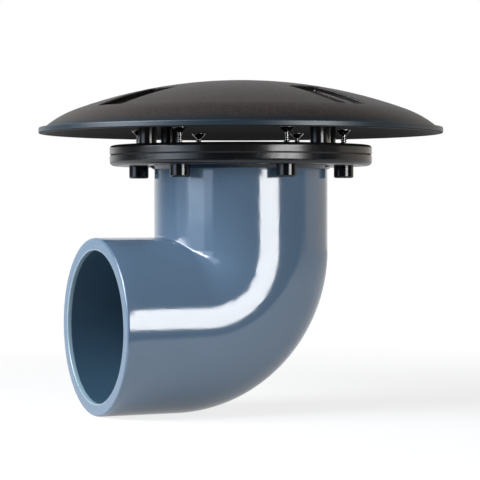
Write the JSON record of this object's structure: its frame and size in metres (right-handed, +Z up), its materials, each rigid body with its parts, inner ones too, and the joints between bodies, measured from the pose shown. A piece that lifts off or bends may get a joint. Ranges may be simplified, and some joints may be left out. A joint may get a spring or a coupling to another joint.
{
  "type": "pond bottom drain",
  "caption": "Domed anti-vortex lid standing on legs over a bolted liner clamp ring and flange, with a spigot glued into a grey 90 degree pipe elbow that turns the outlet level.",
  "frame": {"origin": "on the drain's axis, in the plane of the lower flange's underside, which beds on the pond floor", "axes": "+Z up along the drain's axis, the outlet points along -X"},
  "size_m": [0.3, 0.3, 0.2449],
  "materials": {
    "grey_pvc": "gloss",
    "black_flange": "semi-gloss",
    "gasket_rubber": "matt",
    "black_ring": "semi-gloss",
    "screw_steel": "plain stainless",
    "black_lid": "satin, fine grained"
  },
  "bodies": {
    "drain": {"elbow": "grey_pvc", "lower_flange": "black_flange", "liner_gasket": "gasket_rubber", "clamp_ring": "black_ring", "flange_screws": "screw_steel"},
    "lid": {"dome_lid": "black_lid"}
  },
  "joints": [
    {"name": "lid_lift", "type": "slide", "parent": "drain", "child": "lid", "axis": [0, 0, 1], "range_m": [0, 0.05]}
  ]
}
